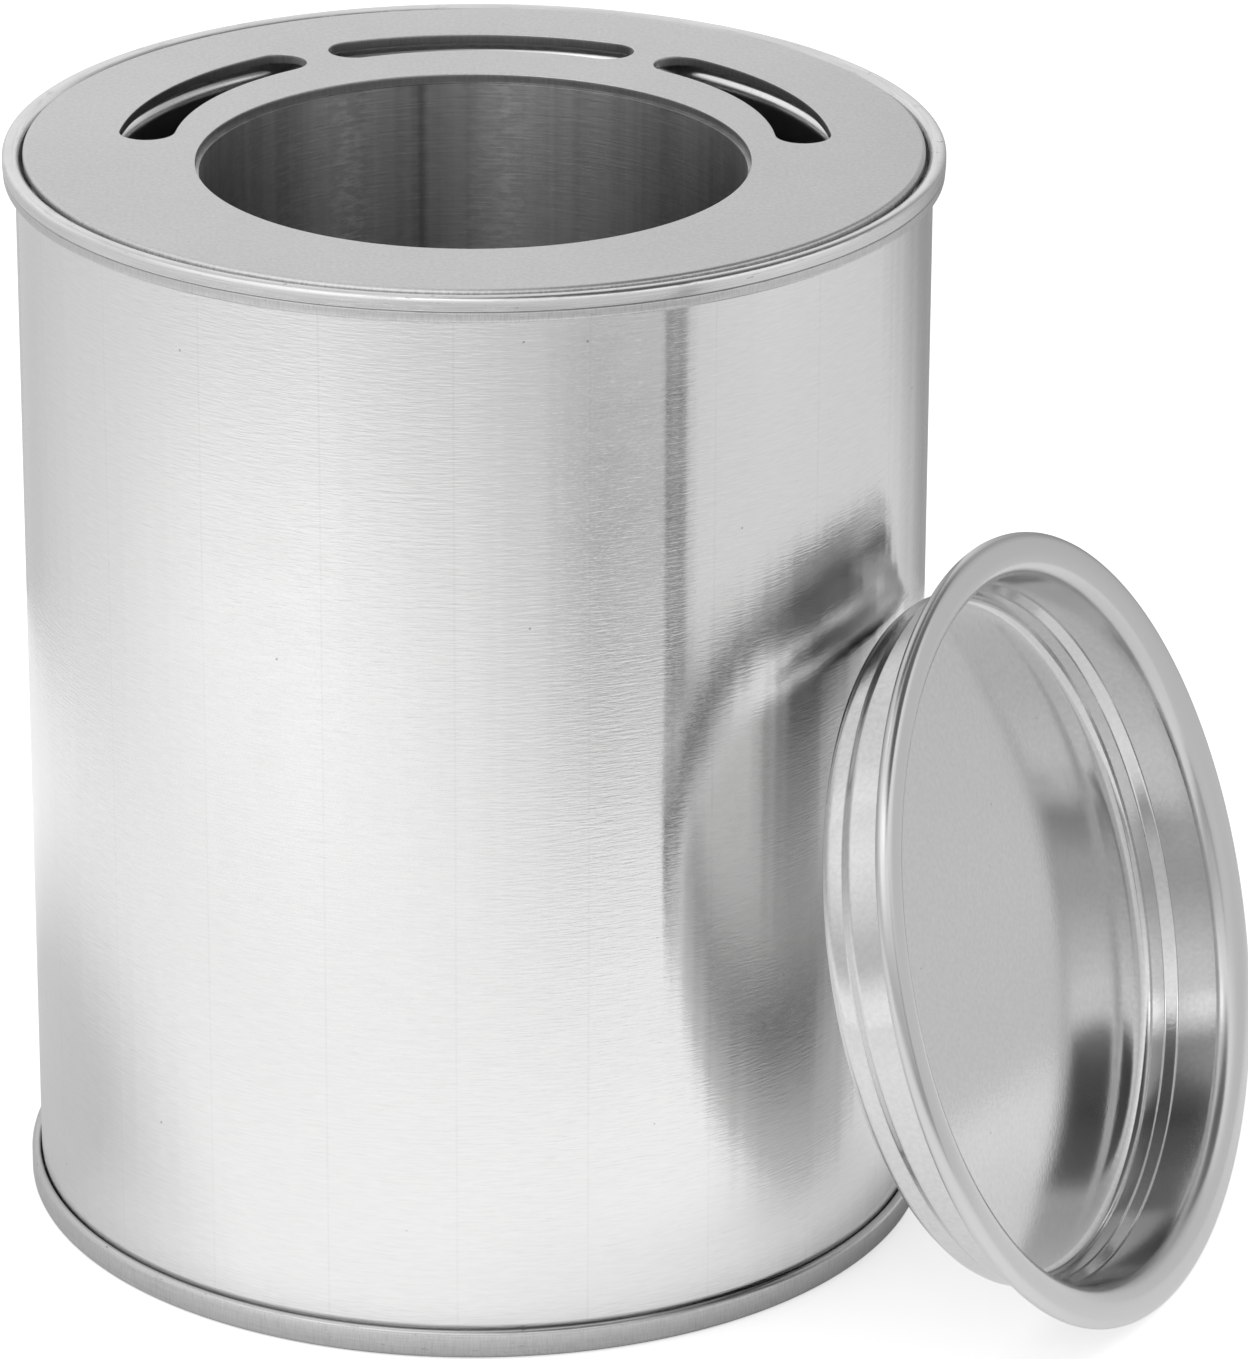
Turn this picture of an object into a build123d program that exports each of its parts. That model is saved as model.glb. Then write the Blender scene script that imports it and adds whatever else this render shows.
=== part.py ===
from build123d import *
import os
from math import cos, radians, sin

# A round press-lid tin of rolled tinplate, with a loose insert and its lid.
# Lengths are in millimetres and angles in degrees. Z is up and the origin is the centre of
# the plane that the tin stands on. The finger slots of the insert are at the back, at +Y.

# Tin: one rolled wall, closed by a base and by a ring that the lid is pressed into
body_radius = 54.1
tin_height = 132.3
body_gauge = 0.3
end_gauge = 0.3
side_weld_width = 1.2
side_weld_proud = 0.12

# A rounded fold is three flats: the middle one lies across the arc of the fold's radius
fold_share = 0.586

# Double seams: the edge of each end is folded round the edge of the wall and hooks into it
top_seam_height = 3.2
top_seam_gap = 0.19
base_seam_height = 3.4
base_seam_gap = 0.1
seam_end_layers = 2
seam_gaps = 3
chuck_wall_gap = 0.08
seam_crown_radius = 0.75
compound_clearance = 0.02

# Base: a sunk panel with one stepped bead
base_sink = 4.5
base_step_inset = 7.02
base_step_depth = 0.8
base_step_width = 1.6

# Ring: a groove inside the seam, a flat shoulder and a throat
groove_depth = 7.8
groove_floor_width = 5.27
shoulder_width = 3.3
shoulder_flank_width = 2.3
throat_edge_radius = 1.5
throat_depth = 9.6

# Insert: a plate with three curved finger slots, on a welded collar. Its round window is
# nearer to the front than its middle
plate_rise = 0.05
plate_thickness = 1.2
plate_clearance = 0.27
plate_band_width = 20.6
window_set_forward = 6.4
slot_count = 3
slot_span = 46.6
slot_bridge = 15.5
slot_line_inset = 6.35
slot_width = 6.6
collar_inset = 0.4
collar_gauge = 0.8
collar_length = 40.0

# Lid: a pressed plug under a rolled flange
lid_gauge = 0.3
plug_fit = 0.05
plug_depth = 12.9
plug_taper = 0.9
flange_width = 4.86
flange_bend_radius = 1.8
rim_roll_radius = 1.1
rim_roll_turn_in = 2.2
plug_step_depth = 9.1
plug_step_height = 1.3
plug_corner_radius = 2.0

# Lid, leaning on the tin: where its foot stands and how far it leans back
lid_azimuth = -25.2
lid_lean = 17.45
lid_side_shift = 1.7
lid_clearance = 0.3
floor_clearance = 0.1

# Faces that several pieces share
body_bore_radius = body_radius - body_gauge
chuck_wall_radius = body_bore_radius - chuck_wall_gap - end_gauge
folded_gauge = seam_end_layers * end_gauge + body_gauge
top_layers = folded_gauge + seam_gaps * top_seam_gap
base_layers = folded_gauge + seam_gaps * base_seam_gap
top_seam_radius = body_radius + top_layers
base_seam_radius = body_radius + base_layers
base_step_radius = chuck_wall_radius - base_step_inset
groove_inner = chuck_wall_radius - groove_floor_width
shoulder_outer = groove_inner - shoulder_flank_width
throat_radius = shoulder_outer - shoulder_width
plate_top = tin_height + plate_rise
plate_underside = plate_top - plate_thickness
plate_radius = chuck_wall_radius - plate_clearance
groove_floor = tin_height - groove_depth
window_radius = plate_radius - plate_band_width
slot_line_radius = window_radius + slot_line_inset
slot_pitch = slot_span + slot_bridge
collar_bore_radius = window_radius - collar_inset
plug_radius = throat_radius - plug_fit
plug_foot_radius = plug_radius - plug_taper
rim_radius = plug_radius + flange_width


def folded_sheet(points, gauge):
    """Outline of a folded sheet: one face follows the points, the other lies to the left of it."""
    face = [Vector(*point) for point in points]
    lefts = [(after - before).normalized().rotate(Axis.Z, 90) for before, after in zip(face, face[1:])]
    back = []
    for point, left_before, left_after in zip(face, lefts[:1] + lefts, lefts + lefts[-1:]):
        back.append(point + (left_before + left_after) * (gauge / (1 + left_before.dot(left_after))))
    return face + back[::-1]


def end_seam(edge, inward, height, gap, seam_radius):
    """Outer face of an end's seam, from the tip of its hook to the top of its chuck wall."""
    hook_radius = body_radius + gap
    hook_tip = edge + inward * (folded_gauge - end_gauge + seam_end_layers * gap)
    seam_foot = edge + inward * height
    return [
        (hook_radius, hook_tip),
        (hook_radius, seam_foot),
        (seam_radius, seam_foot),
        (seam_radius, edge),
        (chuck_wall_radius, edge),
    ]


def body_hook(edge, inward, height, gap, seam_radius):
    """Face of the wall's hook, from its tip to the inside of the wall."""
    hook_face_radius = seam_radius - end_gauge - gap
    hook_tip = edge + inward * (height - end_gauge - gap)
    hook_crown = edge + inward * (end_gauge + gap)
    return [(hook_face_radius, hook_tip), (hook_face_radius, hook_crown), (body_bore_radius, hook_crown)]


# Rolled wall: a hook at each end and the overlap of its side weld at the back
top_hook = body_hook(tin_height, -1, top_seam_height, top_seam_gap, top_seam_radius)
base_hook = body_hook(0, 1, base_seam_height, base_seam_gap, base_seam_radius)
weld_height = tin_height - top_seam_height - base_seam_height
weld_depth = body_gauge / 2 + side_weld_proud
with BuildPart() as body_shell:
    with BuildSketch(Plane.XZ):
        with BuildLine():
            Polyline(*folded_sheet(top_hook + base_hook[::-1], body_gauge), close=True)
        make_face()
    revolve(axis=Axis.Z)
    with BuildSketch(Plane.XY.offset(base_seam_height)):
        with Locations((0, body_radius - body_gauge / 2)):
            Rectangle(side_weld_width, weld_depth, align=(Align.CENTER, Align.MIN))
    extrude(amount=weld_height)
body_shell.part.label = "body_shell"

# Base: its panel is sunk inside the seam, so that the tin stands on the seam alone
base_seam_line = end_seam(0, 1, base_seam_height, base_seam_gap, base_seam_radius)
base_panel_level = base_sink - base_step_depth
base_line = [
    (0, base_panel_level),
    (base_step_radius - base_step_width, base_panel_level),
    (base_step_radius, base_sink),
    (chuck_wall_radius, base_sink),
] + base_seam_line[::-1]
with BuildPart() as base_end:
    with BuildSketch(Plane.XZ):
        with BuildLine():
            Polyline(*folded_sheet(base_line, end_gauge), close=True)
        make_face()
    revolve(axis=Axis.Z)
    base_crown_edge = base_end.edges().group_by(Axis.Z)[0].sort_by(SortBy.RADIUS)[-1]
    chamfer(base_crown_edge, fold_share * seam_crown_radius)
base_end.part.label = "base_end"

# Ring: the groove lets a lever under the lid's flange, the throat grips the plug
top_seam_line = end_seam(tin_height, -1, top_seam_height, top_seam_gap, top_seam_radius)
throat_foot = plate_underside - throat_depth
ring_line = top_seam_line + [
    (chuck_wall_radius, groove_floor),
    (groove_inner, groove_floor),
    (shoulder_outer, plate_underside),
    (throat_radius, plate_underside),
    (throat_radius, throat_foot),
]
with BuildPart() as lever_ring:
    with BuildSketch(Plane.XZ):
        with BuildLine():
            Polyline(*folded_sheet(ring_line, end_gauge), close=True)
        make_face()
    revolve(axis=Axis.Z)
    for level, radius in (
        (plate_underside - end_gauge, throat_edge_radius - end_gauge),
        (plate_underside, throat_edge_radius),
    ):
        level_edges = lever_ring.edges().filter_by_position(Axis.Z, level, level)
        chamfer(level_edges.sort_by(SortBy.RADIUS)[0], fold_share * radius)
    chamfer(lever_ring.edges().group_by(Axis.Z)[-1], fold_share * seam_crown_radius)
lever_ring.part.label = "lever_ring"

# Sealing compound: a thin film between each folded end and the hook of the wall
film_inset = end_gauge + compound_clearance
top_film_gauge = top_seam_gap - 2 * compound_clearance
with BuildPart() as top_seam_compound:
    with BuildSketch(Plane.XY.offset(tin_height - film_inset)):
        Circle(top_seam_radius - film_inset)
        Circle(body_radius, mode=Mode.SUBTRACT)
    extrude(amount=-top_film_gauge)
top_seam_compound.part.label = "top_seam_compound"

base_film_gauge = base_seam_gap - 2 * compound_clearance
with BuildPart() as base_seam_compound:
    with BuildSketch(Plane.XY.offset(film_inset)):
        Circle(base_seam_radius - film_inset)
        Circle(body_radius, mode=Mode.SUBTRACT)
    extrude(amount=base_film_gauge)
base_seam_compound.part.label = "base_seam_compound"

# Insert plate: it rests on the ring's shoulder, and two fingers lift it by its slots
with BuildPart() as insert_plate:
    with BuildSketch(Plane.XY.offset(plate_underside)):
        Circle(plate_radius)
        with Locations((0, -window_set_forward)):
            Circle(window_radius, mode=Mode.SUBTRACT)
        slot_line = CenterArc((0, 0), slot_line_radius, 90 - slot_span / 2, slot_span, mode=Mode.PRIVATE)
        with PolarLocations(0, slot_count, -slot_pitch, slot_pitch * slot_count):
            SlotArc(slot_line, slot_width, mode=Mode.SUBTRACT)
    extrude(amount=plate_thickness)
insert_plate.part.label = "insert_plate"

# Collar: a tube welded under the window, a little narrower than it
with BuildPart() as window_collar:
    with BuildSketch(Plane.XY.offset(plate_underside)):
        with Locations((0, -window_set_forward)):
            Circle(collar_bore_radius + collar_gauge)
            Circle(collar_bore_radius, mode=Mode.SUBTRACT)
    extrude(amount=-collar_length)
window_collar.part.label = "window_collar"

# Lid: its plug faces the tin, and the back edge of the plug just clears the rolled wall
roll_line_radius = rim_radius - rim_roll_radius
plug_corner_line = plug_foot_radius - plug_corner_radius
plug_reach = (
    (roll_line_radius + plug_corner_line) * sin(radians(lid_lean))
    + (plug_depth - plug_corner_radius - rim_roll_radius) * cos(radians(lid_lean))
    + plug_corner_radius
)
foot_distance = body_radius + lid_clearance + plug_reach
lid_heading = Vector(cos(radians(lid_azimuth)), sin(radians(lid_azimuth)), 0)
lid_sideways = Vector(-lid_heading.Y, lid_heading.X, 0)
lid_axis = lid_heading * cos(radians(lid_lean)) + Vector(0, 0, sin(radians(lid_lean)))
lid_upward = Vector(0, 0, cos(radians(lid_lean))) - lid_heading * sin(radians(lid_lean))
lid_foot = (
    lid_heading * foot_distance
    + lid_sideways * lid_side_shift
    + Vector(0, 0, rim_roll_radius + floor_clearance)
)
lid_crest = lid_foot + lid_upward * roll_line_radius + lid_axis * rim_roll_radius
lid_line = Axis(lid_crest, lid_axis)
lid_section = Plane(origin=lid_crest, x_dir=lid_sideways, z_dir=-lid_upward)
plug_bore = plug_radius - lid_gauge
plug_foot_bore = plug_foot_radius - lid_gauge
rim_turn = rim_radius - rim_roll_turn_in
rim_foot = -2 * rim_roll_radius
panel_level = lid_gauge - plug_depth
lid_profile = [
    (rim_turn, rim_foot),
    (rim_radius, rim_foot),
    (rim_radius, 0),
    (plug_bore, 0),
    (plug_bore, plug_step_height - plug_step_depth),
    (plug_foot_bore, -plug_step_depth),
    (plug_foot_bore, panel_level),
    (0, panel_level),
]
with BuildPart() as lid:
    with BuildSketch(lid_section):
        with BuildLine():
            Polyline(*folded_sheet(lid_profile, lid_gauge), close=True)
        make_face()
    revolve(axis=lid_line)
    lid_levels = lid.edges().filter_by(GeomType.CIRCLE).group_by(lid_line)
    flange_edge, rim_top_edge = lid_levels[-1].sort_by(SortBy.RADIUS)
    flange_inner_edge, rim_inner_edge = lid_levels[-2].sort_by(SortBy.RADIUS)
    rim_edges = lid.edges().filter_by(GeomType.CIRCLE).sort_by(SortBy.RADIUS)[-2:]
    rim_inner_edges = lid.edges().filter_by(GeomType.CIRCLE).sort_by(SortBy.RADIUS)[-4:-2]
    plug_corner_edge = lid_levels[0]
    plug_inner_edge = lid_levels[1]
    chamfer(rim_inner_edges, fold_share * (rim_roll_radius - lid_gauge))
    chamfer(flange_inner_edge, fold_share * (flange_bend_radius - lid_gauge))
    chamfer(plug_inner_edge, fold_share * (plug_corner_radius - lid_gauge))
    chamfer(rim_edges, fold_share * rim_roll_radius)
    chamfer(flange_edge, fold_share * flange_bend_radius)
    chamfer(plug_corner_edge, fold_share * plug_corner_radius)
lid.part.label = "lid"

print("lid foot", lid_foot, "lid crest", lid_crest, "lid axis", lid_axis)

os.makedirs("parts", exist_ok=True)
for piece in (
    body_shell,
    base_end,
    lever_ring,
    top_seam_compound,
    base_seam_compound,
    insert_plate,
    window_collar,
    lid,
):
    export_step(piece.part, f"parts/{piece.part.label}.step")
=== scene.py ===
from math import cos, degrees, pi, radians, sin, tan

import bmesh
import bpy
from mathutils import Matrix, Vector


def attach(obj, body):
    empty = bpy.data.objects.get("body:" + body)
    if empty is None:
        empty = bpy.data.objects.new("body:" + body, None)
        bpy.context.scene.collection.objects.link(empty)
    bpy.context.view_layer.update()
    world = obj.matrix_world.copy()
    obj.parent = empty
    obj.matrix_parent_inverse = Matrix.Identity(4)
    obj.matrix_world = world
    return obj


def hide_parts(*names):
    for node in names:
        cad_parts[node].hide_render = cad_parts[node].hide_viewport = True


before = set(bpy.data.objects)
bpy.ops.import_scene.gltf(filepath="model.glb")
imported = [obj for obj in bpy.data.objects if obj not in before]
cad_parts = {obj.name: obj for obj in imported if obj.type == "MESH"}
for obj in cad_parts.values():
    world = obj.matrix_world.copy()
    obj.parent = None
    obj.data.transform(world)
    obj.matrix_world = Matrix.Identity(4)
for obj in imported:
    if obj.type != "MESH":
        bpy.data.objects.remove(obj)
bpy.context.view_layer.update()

# %% [markdown]
# # A press-lid tin in rolled tinplate
# This lesson dresses a round tin, its loose insert and its lid. The CAD pieces are already
# in place, in metres, with the origin where the tin stands. Each piece is rebuilt finely as
# a bent sheet, because bright metal shows every facet in its reflections.

MM = 0.001

# %% [markdown]
# ## Sizes
# Sizes are in millimetres, and places, which are vectors, are in metres. Radii are taken from the
# axis of the piece, and heights from the plane that the tin stands on. The sections and the
# finishes share them, so that a worn band always lies where its fold is.

# %% Sizes in mm
sheet_gauge, collar_gauge = 0.3, 0.8
bore_radius, chuck_radius = 53.8, 53.42
tin_height, top_seam_foot, seam_line = 132.3, 129.1, 130.5
top_seam_radius, base_seam_radius, base_seam_top = 55.57, 55.3, 3.4
groove_floor, shoulder_level, throat_radius, throat_foot = 124.5, 131.15, 42.55, 121.55
plate_low, plate_high, plate_radius = shoulder_level, 132.35, 53.15
window_radius, collar_bore, collar_foot = 32.55, 32.15, 91.15
window_centre = Vector((0, -6.4, 0)) * MM

# %% [markdown]
# The lid leans on the tin at its right. Two angles say how: which way its foot stands from the
# tin's axis, and how far it leans back. From them come the three directions of the lid, and its
# crest is the middle of the flange's face.

# %% How the lid leans
lid_azimuth, lid_lean = radians(-25.2), radians(17.45)
crest_distance, crest_shift, crest_height = 78.6734, 1.7, 45.5609
lid_heading = Vector((cos(lid_azimuth), sin(lid_azimuth), 0))
lid_sideways = Vector((-sin(lid_azimuth), cos(lid_azimuth), 0))
lid_facing = lid_heading * cos(lid_lean) + Vector((0, 0, sin(lid_lean)))
lid_upward = lid_facing.cross(lid_sideways)
lid_crest = (lid_heading * crest_distance + lid_sideways * crest_shift + Vector((0, 0, crest_height))) * MM


def placement(place, x_axis, y_axis, z_axis):
    """The matrix that puts an object at a place, with its axes along these directions."""
    return Matrix.Translation(place) @ Matrix((x_axis, y_axis, z_axis)).transposed().to_4x4()


# %% [markdown]
# ## The camera
# The photograph was taken from the front, a good arm's length away, and looks down on the
# tin by about 22 degrees. A long lens keeps the sides of the tin nearly parallel. The camera
# is turned by three angles, so its axes are worked out first and then set as one matrix.

# %% Camera
camera_yaw, camera_pitch, camera_roll = -0.0017, 0.3886, -0.0047
camera_place = Vector((19.31, -832.29, 404.66)) * MM
forward = Vector((
    sin(camera_yaw) * cos(camera_pitch),
    cos(camera_yaw) * cos(camera_pitch),
    -sin(camera_pitch),
))
level = Vector((cos(camera_yaw), -sin(camera_yaw), 0))
down = forward.cross(level)
right = level * cos(camera_roll) + down * sin(camera_roll)
lower = down * cos(camera_roll) - level * sin(camera_roll)

bpy.ops.object.camera_add(location=camera_place)
camera = bpy.context.object
camera.matrix_world = placement(camera_place, right, -lower, -forward)
camera.data.sensor_width = 36
camera.data.lens = 196.38
bpy.context.scene.camera = camera
bpy.context.scene.view_settings.view_transform = "Standard"
print("camera looks down by", round(degrees(camera_pitch), 1), "degrees")

# %% [markdown]
# ## Building materials from nodes
# A material is a small network. These helpers add a node, set its inputs by name and link it,
# so that each material below reads as a short list of what feeds what.

# %% Node helpers
def put(tree, value, socket):
    """Links an input to another node's output, or sets it to a value."""
    if isinstance(value, bpy.types.NodeSocket):
        tree.links.new(value, socket)
    else:
        socket.default_value = value


def add_node(tree, kind, settings=None, **inputs):
    """A node of that kind. Inputs are values or the outputs of other nodes."""
    node = tree.nodes.new(kind)
    for name, value in (settings or {}).items():
        setattr(node, name, value)
    for name, value in inputs.items():
        wanted = name.replace("_", " ")
        socket = next(s for s in node.inputs if s.enabled and s.name == wanted)
        put(tree, value, socket)
    return node


def maths(tree, operation, a, b=0.0):
    node = add_node(tree, "ShaderNodeMath", {"operation": operation})
    put(tree, a, node.inputs[0])
    put(tree, b, node.inputs[1])
    return node.outputs[0]


def times(tree, a, b):
    return maths(tree, "MULTIPLY", a, b)


def away_from(tree, value, middle):
    """How far a value is from the middle, on either side of it."""
    return maths(tree, "ABSOLUTE", maths(tree, "SUBTRACT", value, middle))


def vector_maths(tree, operation, a, b=(0, 0, 0)):
    """A vector node, for the caller to take its vector or its value from."""
    node = add_node(tree, "ShaderNodeVectorMath", {"operation": operation})
    put(tree, a, node.inputs[0])
    put(tree, b, node.inputs[1])
    return node


def remap(tree, value, low, high, new_low, new_high):
    node = add_node(tree, "ShaderNodeMapRange", Value=value)
    for socket, number in zip(node.inputs[1:5], (low, high, new_low, new_high)):
        socket.default_value = number
    return node.outputs[0]


def spread(tree, noise, low=0.3):
    """A noise, most of which lies round a half, stretched to run from 0 to 1."""
    return remap(tree, noise, low, 1 - low, 0.0, 1.0)


def blend_colours(tree, factor, a, b):
    node = add_node(tree, "ShaderNodeMix", {"data_type": "RGBA"})
    put(tree, factor, node.inputs[0])
    put(tree, a, node.inputs[6])
    put(tree, b, node.inputs[7])
    return node.outputs[2]


def grey(tone):
    return (tone, tone, tone, 1)


def stain(tree, colour, mask, amount, tone):
    """The colour with a grey laid over it where the mask is, by that amount."""
    return blend_colours(tree, times(tree, mask, amount), colour, grey(tone))


def object_place(tree):
    """The place on the object, which is also the place in the frame for every piece here."""
    return add_node(tree, "ShaderNodeTexCoord").outputs["Object"]


def split_place(tree, place=None):
    return add_node(tree, "ShaderNodeSeparateXYZ", Vector=place or object_place(tree)).outputs


def axis_distance_squared(tree, place):
    return maths(tree, "ADD", maths(tree, "POWER", place["X"], 2.0), maths(tree, "POWER", place["Y"], 2.0))


def ring_noise(tree, angle, scale, detail):
    """A noise that changes with the angle round the piece only, and so draws upright bands."""
    settings = {"noise_dimensions": "1D"}
    return add_node(tree, "ShaderNodeTexNoise", settings, W=angle, Scale=scale, Detail=detail).outputs[0]


def bump(tree, height, strength, depth, **below):
    """A bump of that depth in metres. Another bump can lie below it, as Normal."""
    inputs = {"Height": height, "Strength": strength, "Distance": depth}
    return add_node(tree, "ShaderNodeBump", **inputs, **below).outputs[0]


# %% [markdown]
# Every finish but the compound's is bare metal, which needs three networks: its colour, its
# roughness and its bump. The wall and the collar also have an anisotropy, which smears
# reflections one way. A quarter turn of it makes that way upright.

# %% Material helpers
upright_smear = 0.25


def new_material(name):
    material = bpy.data.materials.new(name)
    material.use_nodes = True
    return material, material.node_tree, material.node_tree.nodes["Principled BSDF"]


def bare_metal(tree, shader, colour, roughness, normal):
    tree.links.new(colour, shader.inputs["Base Color"])
    tree.links.new(roughness, shader.inputs["Roughness"])
    tree.links.new(normal, shader.inputs["Normal"])
    shader.inputs["Metallic"].default_value = 1.0


def new_group(name, inputs, output):
    """A node group with one output. Returns its tree, its inputs and its output socket."""
    tree = bpy.data.node_groups.new(name, "ShaderNodeTree")
    for socket, kind, value in inputs:
        made = tree.interface.new_socket(socket, in_out="INPUT", socket_type=kind)
        made.default_value = value
    tree.interface.new_socket(output, in_out="OUTPUT", socket_type="NodeSocketFloat")
    return tree, tree.nodes.new("NodeGroupInput").outputs, tree.nodes.new("NodeGroupOutput").inputs[0]


def use_group(tree, group, **inputs):
    node = tree.nodes.new("ShaderNodeGroup")
    node.node_tree = group
    for name, value in inputs.items():
        node.inputs[name].default_value = value
    return node.outputs[0]


# %% [markdown]
# ## Effects that several finishes share
# Rolled sheet has a grain: very fine lines along the way it went through the rolls. It is a
# noise pattern that is squeezed hard in one direction. Scuffs are the same noise, of which
# only the peaks are kept, and specks are the middles of scattered cells. Each is a group with
# named inputs, so that every finish can set its own direction and amount.

# %% Grain, scuffs and specks
def squeezed_noise(tree, inputs, detail, roughness):
    squeeze = add_node(tree, "ShaderNodeMapping", Vector=object_place(tree), Scale=inputs["Scale"])
    noise = add_node(
        tree, "ShaderNodeTexNoise",
        Vector=squeeze.outputs[0], Scale=1.0, Detail=detail, Roughness=roughness,
    )
    return noise.outputs[0]


grain_group, inputs, output = new_group(
    "rolling_grain",
    [("Scale", "NodeSocketVector", (60, 60, 3000)), ("Detail", "NodeSocketFloat", 3.0)],
    "Grain",
)
grain_group.links.new(squeezed_noise(grain_group, inputs, inputs["Detail"], 0.6), output)

scuff_group, inputs, output = new_group(
    "scuffs",
    [
        ("Scale", "NodeSocketVector", (200, 200, 3000)),
        ("From", "NodeSocketFloat", 0.6),
        ("To", "NodeSocketFloat", 0.72),
    ],
    "Mask",
)
peaks = add_node(
    scuff_group, "ShaderNodeMapRange",
    Value=squeezed_noise(scuff_group, inputs, 5.0, 0.65), From_Min=inputs["From"], From_Max=inputs["To"],
)
scuff_group.links.new(peaks.outputs[0], output)

speck_group, inputs, output = new_group(
    "specks", [("Cells", "NodeSocketFloat", 260.0), ("Size", "NodeSocketFloat", 0.07)], "Mask"
)
cells = add_node(
    speck_group, "ShaderNodeTexVoronoi", Vector=object_place(speck_group), Scale=inputs["Cells"]
)
speck_group.links.new(maths(speck_group, "LESS_THAN", cells.outputs["Distance"], inputs["Size"]), output)
print("groups:", grain_group.name, scuff_group.name, speck_group.name)

# %% [markdown]
# ## Bright tinplate for the wall
# The wall was rolled round from a sheet, so its grain runs level round the tin and smears the
# reflections up and down. The sheet also bent in slightly flat strips as it was rolled, which
# shows as faint upright waves in the bump and as faint upright creases painted dark, a painted
# reflection of the bends. Where they lie depends on the angle round the tin only. Just above
# the base seam the wall has a painted shadow: a dark line where it goes into the seam.

# %% Wall finish
strip_pitch, first_strip = radians(16.36), radians(-1.3)
wall_tinplate, tree, shader = new_material("wall_tinplate")
grain = use_group(tree, grain_group, Scale=(420, 420, 4000), Detail=3.0)
clouds = use_group(tree, grain_group, Scale=(55, 55, 160), Detail=3.0)
dashes = use_group(tree, scuff_group, Scale=(260, 260, 3600), From=0.60, To=0.72)
specks = use_group(tree, speck_group, Cells=150.0, Size=0.024)
place = split_place(tree)
front_angle = maths(tree, "ARCTAN2", place["X"], times(tree, place["Y"], -1.0))
strip = maths(tree, "DIVIDE", maths(tree, "SUBTRACT", front_angle, first_strip), strip_pitch)
from_crease = away_from(tree, maths(tree, "FRACT", maths(tree, "ADD", strip, 0.5)), 0.5)
crease_painted_reflection = times(tree, remap(tree, from_crease, 0.004, 0.011, 1.0, 0.0), clouds)
seam_painted_shadow = remap(tree, place["Z"], (base_seam_top + 0.15) * MM, (base_seam_top + 0.6) * MM, 1.0, 0.0)
metal = blend_colours(tree, spread(tree, grain), (0.84, 0.84, 0.835, 1), (0.89, 0.89, 0.885, 1))
metal = stain(tree, metal, dashes, 0.18, 0.55)
# Painted reflection: faint dark upright lines along the creases between the flat strips.
metal = stain(tree, metal, crease_painted_reflection, 0.24, 0.6)
metal = stain(tree, metal, specks, 0.6, 0.3)
# Painted shadow: a dark line on the wall where it goes into the base seam.
metal = stain(tree, metal, seam_painted_shadow, 0.75, 0.2)
dull = maths(tree, "ADD", remap(tree, clouds, 0.3, 0.7, 0.11, 0.15), times(tree, dashes, 0.04))
lines = bump(tree, grain, 0.8, 0.03 * MM)
waves = bump(tree, ring_noise(tree, front_angle, 9.0, 2.0), 0.2, 0.6 * MM, Normal=lines)
bare_metal(tree, shader, metal, dull, waves)
shader.inputs["Anisotropic"].default_value = 0.8
shader.inputs["Anisotropic Rotation"].default_value = upright_smear

# %% [markdown]
# ## Tinplate that has been through the seaming rolls
# The two ends are the same sheet, but the rolls that fold a seam leave short level scuffs, nicks
# and a duller, pressed band on its outside. The line round the top seam has painted shade in it.
# Inside the chuck wall the sheet is sheltered and keeps the straight grain that it was rolled with,
# and it is painted lighter there: painted light that stands in for light bounced into the tin.

# %% Finish of the ends
end_tinplate, tree, shader = new_material("end_tinplate")
grain = use_group(tree, grain_group, Scale=(90, 90, 5200), Detail=4.0)
sheet_grain = use_group(tree, grain_group, Scale=(50, 3000, 50), Detail=3.0)
rolled = use_group(tree, scuff_group, Scale=(260, 260, 4200), From=0.56, To=0.68)
nicks = use_group(tree, scuff_group, Scale=(520, 520, 5200), From=0.66, To=0.70)
chatter = use_group(tree, scuff_group, Scale=(5200, 5200, 600), From=0.44, To=0.66)
place = split_place(tree)
squared = axis_distance_squared(tree, place)
outside = maths(tree, "GREATER_THAN", squared, ((bore_radius + 0.6) * MM) ** 2)
sheltered = maths(tree, "LESS_THAN", squared, ((chuck_radius - 0.12) * MM) ** 2)
below_line = remap(tree, place["Z"], (seam_line - 0.05) * MM, (seam_line + 0.1) * MM, 1.0, 0.0)
near_top = remap(tree, place["Z"], 120 * MM, 121 * MM, 0.0, 1.0)
base_fold = remap(tree, place["Z"], (base_seam_top + 0.2) * MM, (base_seam_top + 0.4) * MM, 0.75, 0.0)
folds = maths(tree, "ADD", times(tree, below_line, near_top), base_fold)
pressed = times(tree, folds, outside)
off_line = away_from(tree, place["Z"], seam_line * MM)
seam_line_painted_shade = times(tree, remap(tree, off_line, 0.05 * MM, 0.16 * MM, 1.0, 0.0), outside)
seam_wear = times(tree, rolled, remap(tree, sheltered, 0.0, 1.0, 1.0, 0.1))
# Painted light: the sheltered sheet inside the chuck wall is lighter, for light bounced into the tin.
sheltered_grain_and_painted_light = blend_colours(tree, spread(tree, sheet_grain), grey(0.86), grey(0.95))
metal = blend_colours(tree, spread(tree, grain), grey(0.70), grey(0.84))
metal = blend_colours(tree, times(tree, sheltered, 0.8), metal, sheltered_grain_and_painted_light)
metal = stain(tree, metal, seam_wear, 0.35, 0.5)
metal = stain(tree, metal, pressed, 0.5, 0.55)
metal = stain(tree, metal, times(tree, chatter, pressed), 0.4, 0.4)
# Painted shade: the line round the top seam is drawn dark, as shade in its groove.
metal = stain(tree, metal, seam_line_painted_shade, 0.85, 0.3)
metal = stain(tree, metal, times(tree, nicks, outside), 0.8, 0.22)
dull = maths(tree, "ADD", remap(tree, seam_wear, 0.0, 1.0, 0.2, 0.34), times(tree, pressed, 0.12))
lines = bump(tree, grain, 0.4, 0.02 * MM)
bare_metal(tree, shader, metal, dull, bump(tree, seam_wear, 0.3, 0.03 * MM, Normal=lines))
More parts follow.
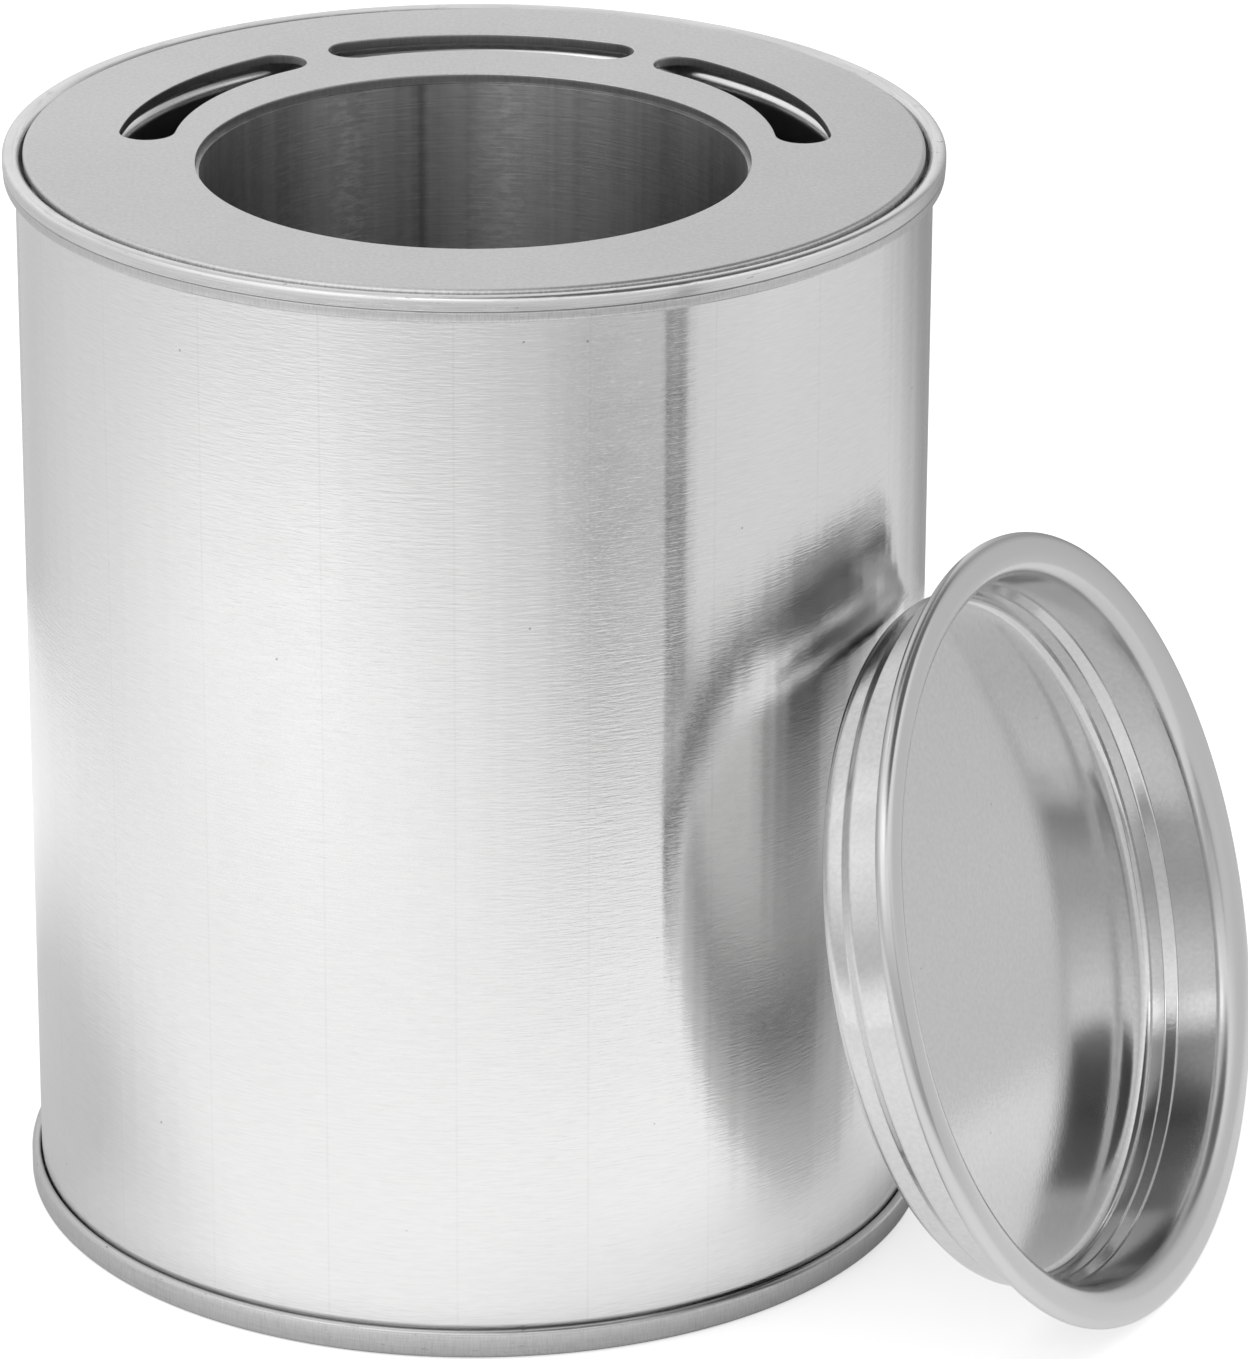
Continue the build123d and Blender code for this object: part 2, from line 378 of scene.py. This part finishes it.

# %% [markdown]
# ## Satin steel for the insert
# The plate is an even, satin grey with hardly any grain. On its punched edges the metal is torn
# into short upright lines, and the walls of its openings have painted shade, for the dark that
# they mirror. The collar below it is a darker, duller steel with upright streaks, two painted
# highlights as light lobes and the dark line of its weld at the back.

# %% Finish of the plate
openings_reach = 45
plate_steel, tree, shader = new_material("plate_steel")
mottle = use_group(tree, grain_group, Scale=(2200, 2200, 2200), Detail=4.0)
clouds = use_group(tree, grain_group, Scale=(40, 40, 40), Detail=3.0)
marks = use_group(tree, scuff_group, Scale=(700, 240, 700), From=0.67, To=0.75)
striae = use_group(tree, scuff_group, Scale=(3600, 3600, 200), From=0.46, To=0.62)
place = split_place(tree)
opening_walls_painted_shade = maths(tree, "LESS_THAN", axis_distance_squared(tree, place), (openings_reach * MM) ** 2)
above_foot = remap(tree, place["Z"], (plate_low + 0.02) * MM, (plate_low + 0.1) * MM, 0.0, 1.0)
below_top = remap(tree, place["Z"], (plate_high - 0.4) * MM, (plate_high - 0.13) * MM, 1.0, 0.0)
punched = times(tree, above_foot, below_top)
metal = blend_colours(tree, spread(tree, mottle, 0.35), grey(0.60), grey(0.68))
metal = stain(tree, metal, marks, 0.35, 0.78)
metal = stain(tree, metal, striae, punched, 0.5)
# Painted shade: the walls of the window and the slots are darkened.
metal = stain(tree, metal, times(tree, opening_walls_painted_shade, punched), 0.6, 0.25)
dull = remap(tree, clouds, 0.3, 0.7, 0.36, 0.46)
bare_metal(tree, shader, metal, dull, bump(tree, mottle, 0.25, 0.03 * MM))

# %% Finish of the collar
collar_weld, painted_highlight_lobes, lobe_half_width = radians(102.7), (radians(84), radians(120)), radians(11)
collar_steel, tree, shader = new_material("collar_steel")
ground = use_group(tree, grain_group, Scale=(160, 160, 3600), Detail=4.0)
chatter = use_group(tree, scuff_group, Scale=(500, 500, 1500), From=0.46, To=0.60)
from_window = vector_maths(tree, "SUBTRACT", object_place(tree), window_centre)
place = split_place(tree, from_window.outputs[0])
angle = maths(tree, "ARCTAN2", place["Y"], place["X"])
bands = ring_noise(tree, angle, 7.0, 3.0)
weld_line = remap(tree, away_from(tree, angle, collar_weld), 0.004, 0.02, 1.0, 0.0)
metal = blend_colours(tree, spread(tree, bands, 0.35), grey(0.35), grey(0.56))
# Painted highlights: two light upright lobes on the collar, lightened into its colour.
for lobe in painted_highlight_lobes:
    lobe_painted_highlight = remap(tree, away_from(tree, angle, lobe), 0.0, lobe_half_width, 0.7, 0.0)
    metal = stain(tree, metal, lobe_painted_highlight, remap(tree, chatter, 0.0, 1.0, 0.45, 1.1), 0.8)
metal = stain(tree, metal, chatter, 0.25, 0.6)
metal = stain(tree, metal, weld_line, 0.5, 0.15)
dull = remap(tree, bands, 0.3, 0.7, 0.36, 0.30)
bare_metal(tree, shader, metal, dull, bump(tree, ground, 0.6, 0.05 * MM))
shader.inputs["Anisotropic"].default_value = 0.85
shader.inputs["Anisotropic Rotation"].default_value = upright_smear

# %% [markdown]
# ## The lid's tinplate and the sealing compound
# The lid was drawn deep from the same bright sheet. The stretched metal has a fine orange peel,
# which is a noise of about half a millimetre in the bump, and the flange is duller. How deep a
# point lies below the flange's face is measured along the direction that the lid faces. The
# compound in the seams is a dull rubber film.

# %% Finish of the lid
lid_tinplate, tree, shader = new_material("lid_tinplate")
peel = use_group(tree, grain_group, Scale=(1700, 1700, 1700), Detail=3.0)
clouds = use_group(tree, grain_group, Scale=(70, 70, 70), Detail=3.0)
specks = use_group(tree, speck_group, Cells=170.0, Size=0.024)
along = vector_maths(tree, "DOT_PRODUCT", object_place(tree), lid_facing).outputs["Value"]
below_face = maths(tree, "SUBTRACT", lid_crest.dot(lid_facing), along)
flange = remap(tree, below_face, 1.6 * MM, 2.6 * MM, 1.0, 0.0)
metal = blend_colours(tree, spread(tree, peel, 0.35), grey(0.67), grey(0.72))
metal = stain(tree, metal, flange, 1.0, 0.66)
metal = stain(tree, metal, specks, 0.6, 0.3)
dull = maths(tree, "ADD", remap(tree, clouds, 0.3, 0.7, 0.10, 0.14), times(tree, flange, 0.12))
bare_metal(tree, shader, metal, dull, bump(tree, peel, 0.2, 0.03 * MM))

# %% Finish of the compound
seal_film, tree, shader = new_material("seal_film")
lumps = use_group(tree, grain_group, Scale=(900, 900, 900), Detail=3.0)
film = blend_colours(tree, lumps, (0.10, 0.095, 0.09, 1), (0.2, 0.19, 0.18, 1))
tree.links.new(film, shader.inputs["Base Color"])
shader.inputs["Roughness"].default_value = 0.7
print("finishes:", [m.name for m in bpy.data.materials if m.use_nodes])

# %% [markdown]
# ## From one vertex to a turned sheet
# Every round piece here is thin sheet, bent in section. Its section is drawn as by hand: a plane
# is merged to one vertex, which is extruded from corner to corner, and the corners are rounded
# with a vertex bevel. The line is then spun once round the axis and given its gauge. That
# keeps the gauge even in every bend, which a solid shape cut by hand wouldn't. The line is one
# face of the sheet, and the gauge goes behind that face or before it.

# %% Modelling helpers
round_steps, bend_segments, edge_segments = 256, 5, 3
merge_distance, pick_distance = 0.002 * MM, 0.01 * MM
smooth_angle = radians(35)
behind, before = -1, 1


def pick(piece, kind, wanted):
    """Selects the vertices, edges or faces that are wanted, and nothing else."""
    bpy.ops.mesh.select_mode(type=kind)
    bpy.ops.mesh.select_all(action="DESELECT")
    mesh = bmesh.from_edit_mesh(piece.data)
    for element in {"VERT": mesh.verts, "EDGE": mesh.edges, "FACE": mesh.faces}[kind]:
        element.select = wanted(element)
    bmesh.update_edit_mesh(piece.data)


def select_only(piece):
    bpy.ops.object.select_all(action="DESELECT")
    piece.select_set(True)
    bpy.context.view_layer.objects.active = piece


def modify(piece, name, kind, **settings):
    """Gives the piece a modifier with those settings and applies it."""
    modifier = piece.modifiers.new(name, kind)
    for setting, value in settings.items():
        setattr(modifier, setting, value)
    bpy.context.view_layer.objects.active = piece
    bpy.ops.object.modifier_apply(modifier=name)


def report(piece):
    corners = [Vector(corner) for corner in piece.bound_box]
    low = [round(min(c[i] for c in corners) / MM, 2) for i in range(3)]
    high = [round(max(c[i] for c in corners) / MM, 2) for i in range(3)]
    print(piece.name, "from", low, "to", high, "mm,", len(piece.data.polygons), "faces")


def dress(piece, material):
    piece.data.materials.clear()
    piece.data.materials.append(material)
    report(piece)


# %% Turned sheet
def first_vertex(name, point):
    """A mesh of one vertex, in edit mode, made from a plane whose corners are merged."""
    bpy.ops.object.select_all(action="DESELECT")
    bpy.ops.mesh.primitive_plane_add(size=MM, location=(0, 0, 0))
    bpy.context.object.name = name
    bpy.ops.object.mode_set(mode="EDIT")
    bpy.ops.mesh.merge(type="CENTER")
    bpy.ops.transform.translate(value=point)
    return bpy.context.object


def draw_section(name, corners):
    """Extrudes a line through (radius, height, bend radius) corners in mm, and rounds them."""
    points = [Vector((radius, 0, height)) * MM for radius, height, _ in corners]
    piece = first_vertex(name, points[0])
    for start, end in zip(points, points[1:]):
        bpy.ops.mesh.extrude_region_move(TRANSFORM_OT_translate={"value": end - start})
    for index in range(1, len(points) - 1):
        bend = corners[index][2]
        if bend:
            corner = points[index]
            turn = (corner - points[index - 1]).angle(points[index + 1] - corner)
            pick(piece, "VERT", lambda vertex: (vertex.co - corner).length < pick_distance)
            bpy.ops.mesh.bevel(offset=bend * MM * tan(turn / 2), segments=bend_segments, affect="VERTICES")
    return piece


def turn_sheet(name, corners, gauge, side):
    """Spins the section round Z and gives it its gauge, on the side that side says."""
    piece = draw_section(name, corners)
    bpy.ops.mesh.select_all(action="SELECT")
    bpy.ops.mesh.spin(steps=round_steps, angle=2 * pi, center=(0, 0, 0), axis=(0, 0, 1))
    bpy.ops.mesh.select_all(action="SELECT")
    bpy.ops.mesh.remove_doubles(threshold=merge_distance)
    bpy.ops.mesh.normals_make_consistent(inside=False)
    bpy.ops.object.mode_set(mode="OBJECT")
    modify(piece, "gauge", "SOLIDIFY", thickness=gauge * MM, offset=side, use_even_offset=True)
    bpy.ops.object.shade_smooth_by_angle(angle=smooth_angle)
    return piece


# %% [markdown]
# ## The rolled wall
# The wall is one turned sheet whose two edges are hooked outwards, where the ends grip it. The
# weld at the back is a narrow raised strip, so it is a thin box that is bevelled along its edges.

# %% Wall
wall_low, wall_high, top_hook_tip, base_hook_tip = 0.4, 131.81, 129.6, 3.0
top_hook, base_hook, hook_bend = 55.08, 54.9, 0.5
wall_section = [
    (top_hook, top_hook_tip, 0), (top_hook, wall_high, hook_bend), (bore_radius, wall_high, hook_bend),
    (bore_radius, wall_low, hook_bend), (base_hook, wall_low, hook_bend), (base_hook, base_hook_tip, 0),
]
rolled_wall = turn_sheet("rolled_wall", wall_section, sheet_gauge, behind)
dress(rolled_wall, wall_tinplate)
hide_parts("body_shell")
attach(rolled_wall, "tin")

# %% Weld
weld_width, weld_proud, weld_foot, weld_top = 1.2, 0.12, 3.5, 129.0
wall_radius = bore_radius + sheet_gauge
weld_centre = Vector((0, wall_radius, (weld_foot + weld_top) / 2)) * MM
bpy.ops.object.select_all(action="DESELECT")
bpy.ops.mesh.primitive_cube_add(size=1, location=weld_centre)
weld = bpy.context.object
weld.name = "wall_weld"
weld.scale = Vector((weld_width, 2 * weld_proud, weld_top - weld_foot)) * MM
bpy.ops.object.transform_apply(location=True, rotation=True, scale=True)
modify(weld, "soft_edge", "BEVEL", width=0.08 * MM, segments=edge_segments)
bpy.ops.object.shade_smooth_by_angle(angle=smooth_angle)
dress(weld, end_tinplate)
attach(weld, "tin")

# %% [markdown]
# ## The two ends and their double seams
# In a double seam the edge of the end is folded round the hook of the wall and pressed flat. The
# base end is sunk, with a step in its panel. The ring at the top has a line rolled into its seam,
# with the fold pressed in a little below it. Inside, it goes down into a groove, up over a
# shoulder and down again as the throat that grips the lid.

# %% Base end
panel_level, sink_level, step_inner, step_outer = 3.7, 4.5, 44.8, 46.4
end_hook, end_hook_tip = 54.2, 1.1
base_section = [
    (0, panel_level, 0), (step_inner, panel_level, 1.0), (step_outer, sink_level, 1.0),
    (chuck_radius, sink_level, 1.2), (chuck_radius, 0, 0.55), (base_seam_radius, 0, 0.6),
    (base_seam_radius, base_seam_top, 0.5), (end_hook, base_seam_top, 0.4), (end_hook, end_hook_tip, 0),
]
base_cap = turn_sheet("base_cap", base_section, sheet_gauge, behind)
dress(base_cap, end_tinplate)
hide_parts("base_end")
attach(base_cap, "tin")

# %% Lever ring
ring_hook, ring_hook_tip = 54.29, 131.32
pressed_foot, pressed_top, line_depth, line_half_width = 55.45, 55.54, 0.15, 0.12
groove_inner, shoulder_outer = 48.15, 45.85
ring_section = [
    (ring_hook, ring_hook_tip, 0), (ring_hook, top_seam_foot, 0.4), (pressed_foot, top_seam_foot, 0.5),
    (pressed_top, seam_line - line_half_width, 0.2), (top_seam_radius - line_depth, seam_line, 0.1),
    (top_seam_radius, seam_line + line_half_width, 0.2), (top_seam_radius, tin_height, 0.6),
    (chuck_radius, tin_height, 1.4), (chuck_radius, groove_floor, 1.2), (groove_inner, groove_floor, 1.2),
    (shoulder_outer, shoulder_level, 1.3), (throat_radius, shoulder_level, 2.3),
    (throat_radius, throat_foot, 0),
]
seam_ring = turn_sheet("seam_ring", ring_section, sheet_gauge, behind)
dress(seam_ring, end_tinplate)
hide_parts("lever_ring")
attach(seam_ring, "tin")

# %% [markdown]
# ## The insert plate
# The plate is a flat disc with a round window and three curved finger slots. A slot is drawn with
# four spins: out along the arc, round its end, back and round again. Filled and extruded, it
# is a cutter, and its two copies are turned about the centre of the arc. A boolean modifier cuts
# with each, and a bevel breaks the punched edges.

# %% Slot cutters
slot_centre = Vector((0, 0, 0))
slot_line, slot_half_width, slot_span, slot_pitch = 38.9, 3.3, radians(46.6), radians(62.1)
slot_start, slot_end = pi / 2 - slot_span / 2, pi / 2 + slot_span / 2
inner_steps, outer_steps, end_steps = 24, 28, 12
cutter_reach, cutter_height = 1, 4


def on_slot(radius, angle):
    return slot_centre + Vector((cos(angle), sin(angle), 0)) * radius * MM


slot_cutter = first_vertex("slot_cutter", on_slot(slot_line - slot_half_width, slot_start))
for steps, angle, centre in (
    (inner_steps, -slot_span, slot_centre), (end_steps, pi, on_slot(slot_line, slot_end)),
    (outer_steps, slot_span, slot_centre), (end_steps, pi, on_slot(slot_line, slot_start)),
):
    bpy.ops.mesh.spin(steps=steps, angle=angle, center=centre, axis=(0, 0, 1))
bpy.ops.mesh.select_all(action="SELECT")
bpy.ops.mesh.remove_doubles(threshold=merge_distance)
bpy.ops.transform.translate(value=(0, 0, (plate_low - cutter_reach) * MM))
bpy.ops.mesh.edge_face_add()
bpy.ops.mesh.extrude_region_move(TRANSFORM_OT_translate={"value": (0, 0, cutter_height * MM)})
bpy.ops.mesh.select_all(action="SELECT")
bpy.ops.mesh.normals_make_consistent(inside=False)
bpy.ops.object.mode_set(mode="OBJECT")
report(slot_cutter)
slot_cutters = [slot_cutter]
for turn in (slot_pitch, -slot_pitch):
    select_only(slot_cutter)
    bpy.ops.object.duplicate()
    bpy.ops.object.mode_set(mode="EDIT")
    bpy.ops.mesh.select_all(action="SELECT")
    bpy.ops.transform.rotate(value=turn, orient_axis="Z", center_override=slot_centre)
    bpy.ops.object.mode_set(mode="OBJECT")
    slot_cutters.append(bpy.context.object)


# %% Plate
def add_disc(name, radius, centre, low, high, steps=round_steps):
    """A closed disc or drum between two heights."""
    bpy.ops.object.select_all(action="DESELECT")
    bpy.ops.mesh.primitive_cylinder_add(
        vertices=steps, radius=radius * MM, depth=(high - low) * MM,
        location=centre + Vector((0, 0, (low + high) / 2)) * MM,
    )
    bpy.context.object.name = name
    bpy.ops.object.transform_apply(location=True)
    return bpy.context.object


def on_top_edge(vertex):
    high_enough = vertex.co.z > plate_high * MM - pick_distance
    return high_enough and vertex.co.xy.length > plate_radius * MM - pick_distance


window_cutter = add_disc(
    "window_cutter", window_radius, window_centre, plate_low - cutter_reach, plate_high + cutter_reach
)
plate = add_disc("window_plate", plate_radius, Vector((0, 0, 0)), plate_low, plate_high)
for cutter in [window_cutter] + slot_cutters:
    modify(plate, "slot", "BOOLEAN", operation="DIFFERENCE", solver="EXACT", object=cutter)
    bpy.data.objects.remove(cutter)
bpy.ops.object.mode_set(mode="EDIT")
pick(plate, "EDGE", lambda edge: all(on_top_edge(vertex) for vertex in edge.verts))
bpy.ops.mesh.bevel(offset=0.5 * MM, segments=bend_segments, affect="EDGES")
bpy.ops.mesh.select_mode(type="VERT")
bpy.ops.object.mode_set(mode="OBJECT")
modify(
    plate, "edge_break", "BEVEL",
    width=0.12 * MM, segments=edge_segments, limit_method="ANGLE", angle_limit=radians(60),
)
select_only(plate)
bpy.ops.object.shade_smooth_by_angle(angle=smooth_angle)
modify(plate, "flat_top", "WEIGHTED_NORMAL", keep_sharp=True)
dress(plate, plate_steel)
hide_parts("insert_plate")
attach(plate, "insert")

# %% [markdown]
# ## The collar under the window
# The collar is a short tube under the plate, a little narrower than the window. It is another
# turned sheet, of a thicker gauge. Its line is the bore, and the gauge goes outwards.

# %% Collar
collar_section = [(collar_bore, plate_low, 0), (collar_bore, collar_foot, 0)]
collar = turn_sheet("window_tube", collar_section, collar_gauge, before)
bpy.ops.transform.translate(value=window_centre)
bpy.ops.object.transform_apply(location=True)
dress(collar, collar_steel)
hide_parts("window_collar")
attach(collar, "insert")

# %% [markdown]
# ## The lid
# The lid is a deep plug under a wide flange, whose edge is rolled back under itself. Its section
# has the flange's face at height 0. Below it the plug narrows at a neck, and the panel is a very
# shallow dish, which shows in its reflections. The lid is turned about Z as the other pieces are,
# and then tipped over as a whole: its own axis is laid along the direction that the leaning lid
# faces, and the move is applied to the mesh.

# %% Lid
rim_radius, rim_edge, rim_depth, rim_bend = 47.36, 45.2, 2.2, 1.05
plug_bore, plug_foot_bore, neck_top, neck_foot = 42.2, 41.3, 7.8, 9.1
dish_radius, dish_depth, panel_depth = 35.0, 12.1, 12.6
lid_section = [
    (rim_edge, -rim_depth, 0), (rim_radius, -rim_depth, rim_bend), (rim_radius, 0, rim_bend),
    (plug_bore, 0, 2.6), (plug_bore, -neck_top, 0.8), (plug_foot_bore, -neck_foot, 0.8),
    (plug_foot_bore, -dish_depth, 1.5), (dish_radius, -panel_depth, 105), (0, -panel_depth, 0),
]
lid = turn_sheet("press_lid", lid_section, sheet_gauge, behind)
lid.matrix_world = placement(lid_crest, lid_sideways, lid_upward, lid_facing)
bpy.ops.object.transform_apply(location=True, rotation=True, scale=True)
dress(lid, lid_tinplate)
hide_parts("lid")
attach(lid, "lid")

# %% [markdown]
# ## The hidden seals
# The two films of compound lie inside the seams. They keep their CAD shape and only get their
# finish.

# %% Seals
for name in ("top_seam_compound", "base_seam_compound"):
    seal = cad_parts[name]
    seal.data.materials.clear()
    seal.data.materials.append(seal_film)

# %% [markdown]
# ## Floor, screen and light
# Bright metal looks like what stands round it, so the studio matters as much as the metal. The
# floor is plain and pale for the camera. For reflections it glows with painted shade: darker far
# out, and with painted shadows under the tin, at its left and beyond the lid.

# %% Floor
def ray_masks(tree):
    """Masks of the rays that leave the camera, and of those that come off a surface or through it."""
    rays = add_node(tree, "ShaderNodeLightPath").outputs
    return rays["Is Camera Ray"], maths(tree, "MAXIMUM", rays["Is Glossy Ray"], rays["Is Transmission Ray"])


bpy.ops.object.select_all(action="DESELECT")
bpy.ops.mesh.primitive_plane_add(size=6, location=(0, 0, -0.05 * MM))
floor = bpy.context.object
floor.name = "studio_floor"
floor_paint, tree, shader = new_material("floor_paint")
shader.inputs["Base Color"].default_value = grey(0.8)
shader.inputs["Roughness"].default_value = 1.0
shader.inputs["Specular IOR Level"].default_value = 0.0
place = object_place(tree)
from_centre = vector_maths(tree, "LENGTH", place).outputs["Value"]
# Painted shade, seen only in reflections: darker far out. The spots below are painted shadows under the
# tin, at its left and beyond the lid.
floor_glow_with_painted_shadows = remap(tree, from_centre, 120 * MM, 240 * MM, 0.40, 0.27)
for spot, near, far, tone in (
    (Vector((0, 0, 0)), 56, 70, 0.05),
    (Vector((-80, 20, 0)), 35, 85, 0.1),
    (Vector((138, -25, 0)), 20, 70, 0.62),
):
    from_spot = vector_maths(tree, "DISTANCE", place, spot * MM).outputs["Value"]
    floor_glow_with_painted_shadows = times(tree, floor_glow_with_painted_shadows, remap(tree, from_spot, near * MM, far * MM, tone, 1.0))
seen, mirrored = ray_masks(tree)
lit = maths(tree, "ADD", times(tree, seen, 0.6), times(tree, mirrored, floor_glow_with_painted_shadows))
shader.inputs["Emission Color"].default_value = grey(1.0)
tree.links.new(lit, shader.inputs["Emission Strength"])
floor.data.materials.append(floor_paint)

# %% [markdown]
# A curved screen of uneven tone stands all round the tin, closed at the top and open below. Only
# reflections see it: it is hidden from the camera, from diffuse light and from the shadows. Its
# tones are rows of stops, each a bearing in degrees from +X and a tone. From the floor up, each
# row takes over from the one below it between two heights in mm.

# %% Rows of tones round the screen
low_glow = [
    (-180, 0.82), (-150, 1.02), (-125, 1.1), (-105, 1.04), (-88, 0.92), (-74, 0.8), (-62, 0.82),
    (-46.2, 0.82), (-45.9, 0.2), (-43.5, 0.3), (-39.5, 0.72), (30, 0.68), (45, 0.5), (55, 0.34),
    (68, 0.38), (78, 0.8), (110, 0.62), (135, 0.60), (158, 0.72), (180, 0.82),
]
foot_glow = [
    (-180, 0.80), (-150, 1.02), (-125, 1.08), (-108, 0.96), (-88, 0.80), (-74, 0.62), (-62, 0.32),
    (-52, 0.36), (-46.2, 0.42), (-45.9, 0.10), (-43.5, 0.18), (-39.5, 0.70), (30, 0.70), (45, 0.5),
    (55, 0.34), (68, 0.38), (78, 0.8), (110, 0.62), (135, 0.60), (158, 0.72), (180, 0.80),
]
middle_glow = [
    (-180, 0.70), (-150, 0.68), (-125, 0.66), (-100, 0.58), (-75, 0.58), (-55, 0.62), (-46.2, 0.62),
    (-45.9, 0.12), (-43.5, 0.2), (-39.5, 0.66), (-20, 0.74), (20, 0.66), (34, 0.5), (46, 0.36),
    (55, 0.32), (68, 0.36), (78, 0.8), (110, 0.62), (135, 0.60), (158, 0.66), (180, 0.70),
]
high_glow = [
    (-180, 0.85), (-125, 1.2), (-104, 1.15), (-85, 1.0), (-62, 1.05), (-45, 1.05), (-25, 1.05),
    (-2, 0.95), (10, 0.6), (22, 0.5), (40, 0.4), (60, 0.7), (78, 0.85), (120, 0.9), (150, 0.95),
    (180, 0.85),
]
dark_glow = [
    (-180, 0.8), (-130, 1.3), (-112, 1.4), (-99, 1.9), (-90, 1.5), (-75, 0.9), (-60, 0.25),
    (-45, 0.08), (-20, 0.06), (5, 0.1), (40, 0.2), (60, 0.5), (80, 0.85), (110, 0.85), (180, 0.8),
]
top_glow = [
    (-180, 0.6), (-130, 0.9), (-100, 0.5), (-84, 0.4), (-70, 0.15), (-30, 0.08), (30, 0.15),
    (60, 0.4), (80, 0.8), (110, 0.8), (180, 0.6),
]
rows_above = [
    (foot_glow, 6, 22), (middle_glow, 26, 58), (high_glow, 80, 180), (dark_glow, 228, 266),
    (top_glow, 290, 400),
]

# %% Screen
screen_radius, screen_height, screen_steps = 205, 500, 128


def tone_row(tree, turn, stops):
    """A row of tones round the screen, from (bearing in degrees, tone) stops."""
    node = add_node(tree, "ShaderNodeValToRGB", Fac=turn)
    ramp = node.color_ramp
    ramp.elements[0].color, ramp.elements[-1].color = grey(stops[0][1]), grey(stops[-1][1])
    for bearing, tone in stops[1:-1]:
        ramp.elements.new((bearing + 180) / 360).color = grey(tone)
    return node.outputs[0]


screen = add_disc("reflection_screen", screen_radius, Vector((0, 0, 0)), 0, screen_height, screen_steps)
bpy.ops.object.mode_set(mode="EDIT")
pick(screen, "FACE", lambda face: face.normal.z < -0.5)
bpy.ops.mesh.delete(type="FACE")
bpy.ops.mesh.select_mode(type="VERT")
bpy.ops.object.mode_set(mode="OBJECT")
screen_paper = bpy.data.materials.new("screen_paper")
screen_paper.use_nodes = True
tree = screen_paper.node_tree
tree.nodes.clear()
place = split_place(tree)
turn = remap(tree, maths(tree, "ARCTAN2", place["Y"], place["X"]), -pi, pi, 0.0, 1.0)
glow_tone = tone_row(tree, turn, low_glow)
for stops, low, high in rows_above:
    rise = remap(tree, place["Z"], low * MM, high * MM, 0.0, 1.0)
    glow_tone = blend_colours(tree, rise, glow_tone, tone_row(tree, turn, stops))
glow = add_node(tree, "ShaderNodeEmission", Color=glow_tone, Strength=1.0)
tree.links.new(glow.outputs[0], add_node(tree, "ShaderNodeOutputMaterial").inputs["Surface"])
screen.data.materials.append(screen_paper)
screen.visible_camera = False
screen.visible_diffuse = False
screen.visible_shadow = False
screen.visible_transmission = False

# %% [markdown]
# The sky is white for the camera and for reflections, and half as bright as a light. Two soft
# lamps stand high at the left and at the right.

# %% World and lamps
world = bpy.data.worlds.new("studio")
bpy.context.scene.world = world
world.use_nodes = True
tree = world.node_tree
sky = tree.nodes["Background"]
seen, mirrored = ray_masks(tree)
white = maths(tree, "MAXIMUM", seen, mirrored)
sky.inputs["Color"].default_value = grey(1.0)
tree.links.new(maths(tree, "MAXIMUM", white, 0.5), sky.inputs["Strength"])
lamp_aim, lamp_size = Vector((0, 0, 0.05)), 0.9


def softbox(name, place, power):
    bpy.ops.object.light_add(type="AREA", location=place)
    lamp = bpy.context.object
    lamp.name = name
    lamp.data.shape = "SQUARE"
    lamp.data.size = lamp_size
    lamp.data.energy = power
    lamp.rotation_euler = (lamp_aim - Vector(place)).to_track_quat("-Z", "Y").to_euler()


softbox("key_softbox", (-0.7, -0.5, 1.3), 5)
softbox("fill_softbox", (0.9, 0.3, 1.1), 3)
